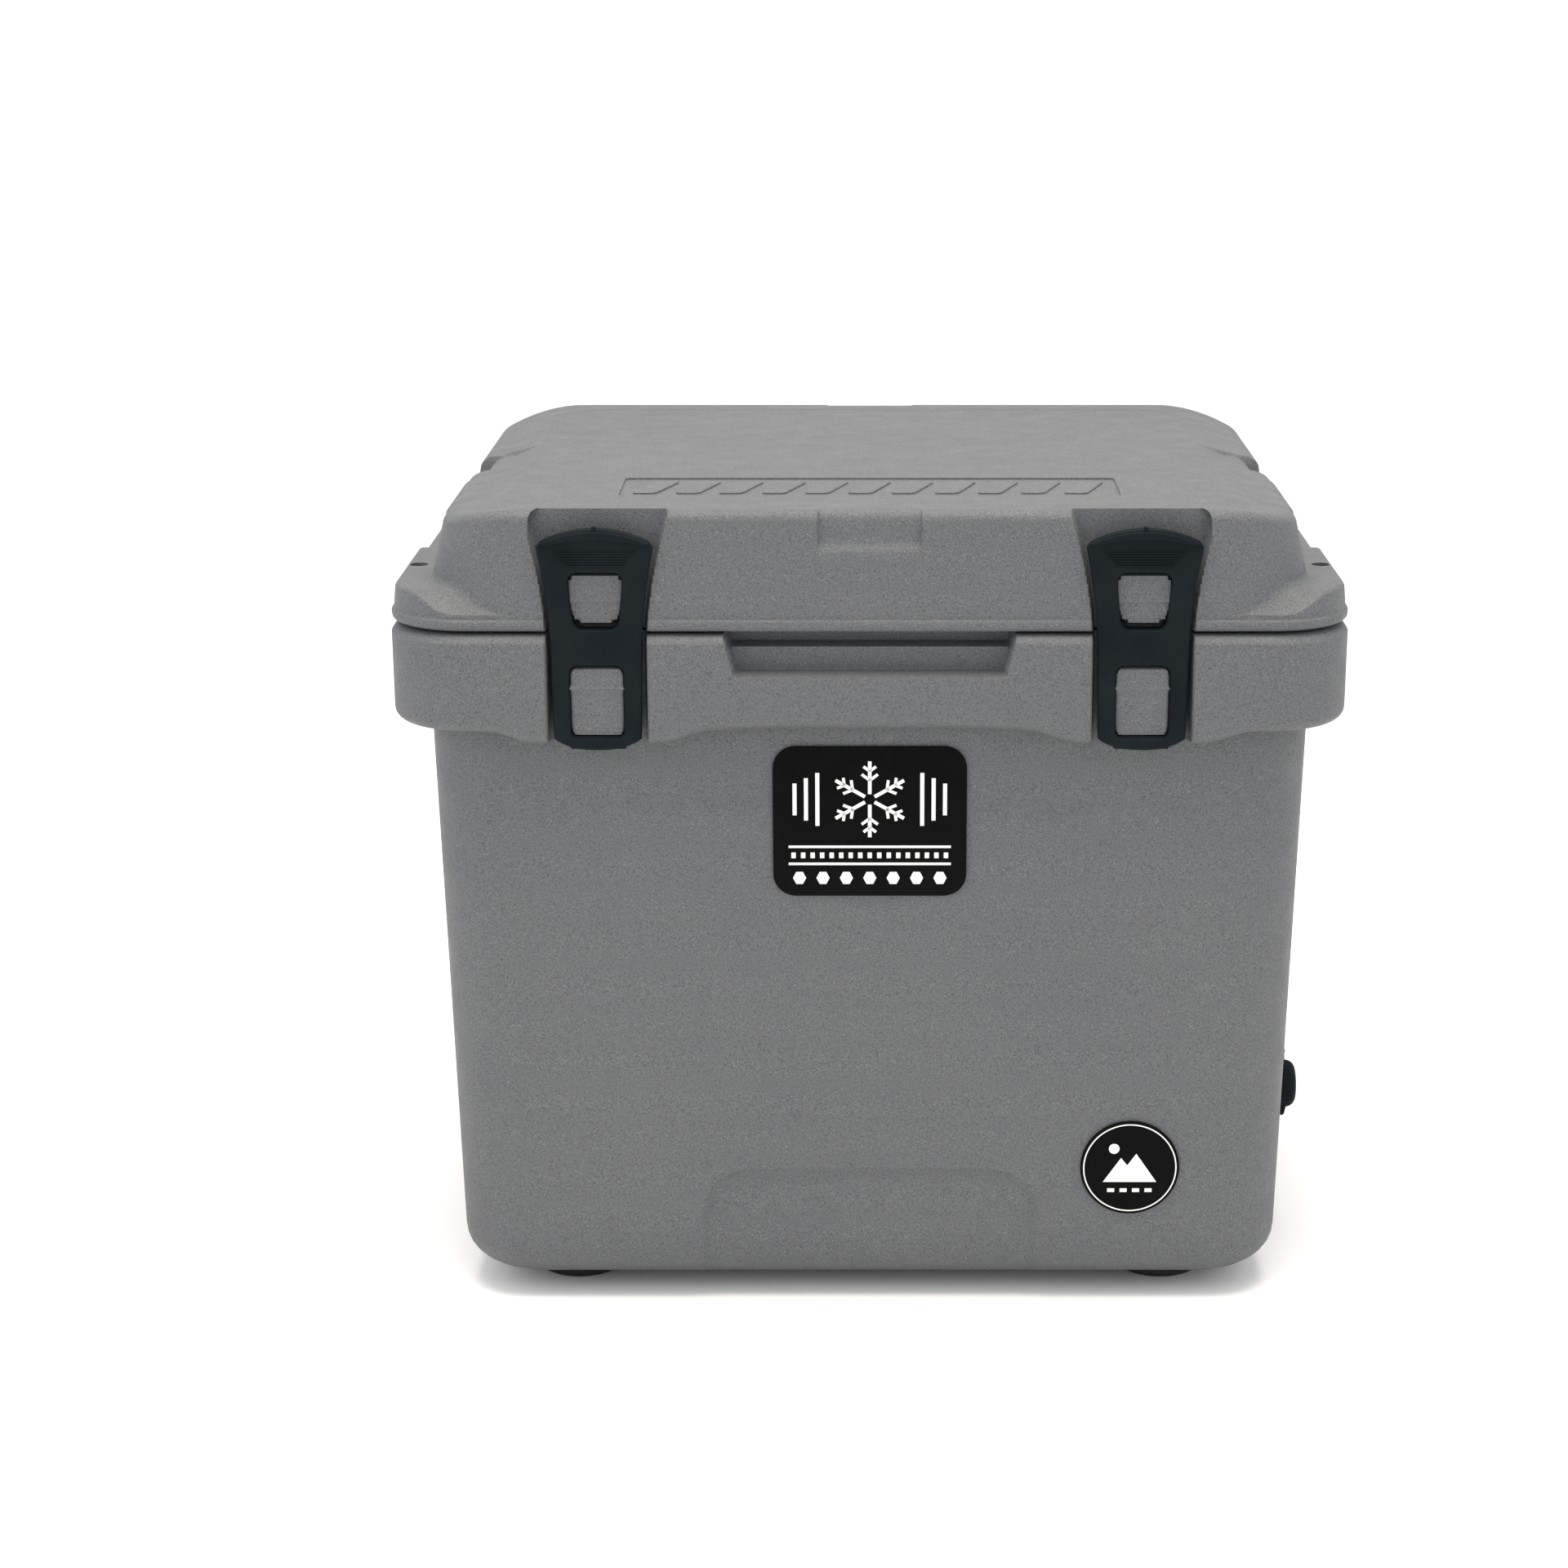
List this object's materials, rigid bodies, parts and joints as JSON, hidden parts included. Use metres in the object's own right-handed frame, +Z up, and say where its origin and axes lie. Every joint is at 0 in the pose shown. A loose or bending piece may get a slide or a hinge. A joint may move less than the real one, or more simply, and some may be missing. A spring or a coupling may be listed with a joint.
{
  "type": "hard cooler",
  "caption": "Foam-filled rotomoulded hard cooler with hinged lid, two rubber front latches, moulded grips, rubber feet and a side drain with a tethered plug.",
  "frame": {"origin": "on the ground plane, under the middle of the cooler's outline", "axes": "+X to the cooler's left-to-right as seen from the front, -Y towards the front with the latches, +Z up"},
  "size_m": [0.52, 0.41, 0.458],
  "materials": {
    "grey_plastic": "pebbled, satin, rotomoulded polyethylene",
    "foam": "poured polyurethane foam",
    "black_plastic": "moulded nylon",
    "black_rubber": "matte rubber",
    "latch_rubber": "satin blue-black rubber",
    "steel": "stainless, drawn",
    "badge_vinyl": "printed vinyl"
  },
  "bodies": {
    "body": {"body_fill_plug": "black_plastic", "body_foam": "foam", "body_shell": "grey_plastic", "drain_fitting": "black_plastic", "drain_hinge_pin": "steel", "drain_nut": "black_plastic", "drain_seal": "black_rubber", "foot_back_left": "black_rubber", "foot_back_right": "black_rubber", "foot_front_left": "black_rubber", "foot_front_right": "black_rubber", "foot_screw_back_left": "steel", "foot_screw_back_right": "steel", "foot_screw_front_left": "steel", "foot_screw_front_right": "steel", "front_badge": "badge_vinyl", "hinge_rod": "steel", "hinge_rod_cap_left": "black_plastic", "hinge_rod_cap_right": "black_plastic", "ice_box_liner": "grey_plastic", "latch_pin_left": "steel", "latch_pin_right": "steel", "round_badge": "badge_vinyl"},
    "lid": {"lid_shell": "grey_plastic", "lid_foam": "foam", "lid_fill_plug": "black_plastic", "lid_gasket": "black_rubber"},
    "latch_left": {"latch_left": "latch_rubber"},
    "latch_right": {"latch_right": "latch_rubber"},
    "drain_plug": {"drain_plug": "latch_rubber"}
  },
  "joints": [
    {"name": "lid_hinge", "type": "hinge", "parent": "body", "child": "lid", "pos_m": [0, 0.194, 0.39275], "axis": [-1, 0, 0], "range_deg": [0, 100]},
    {"name": "latch_left_hinge", "type": "hinge", "parent": "body", "child": "latch_left", "pos_m": [-0.1457, -0.1995, 0.3328], "axis": [1, 0, 0], "range_deg": [0, 150]},
    {"name": "latch_right_hinge", "type": "hinge", "parent": "body", "child": "latch_right", "pos_m": [0.1457, -0.1995, 0.3328], "axis": [1, 0, 0], "range_deg": [0, 150]},
    {"name": "drain_plug_hinge", "type": "hinge", "parent": "body", "child": "drain_plug", "pos_m": [0.24264, -0.06423, 0.1125], "axis": [0, -1, 0], "range_deg": [0, 110]}
  ]
}
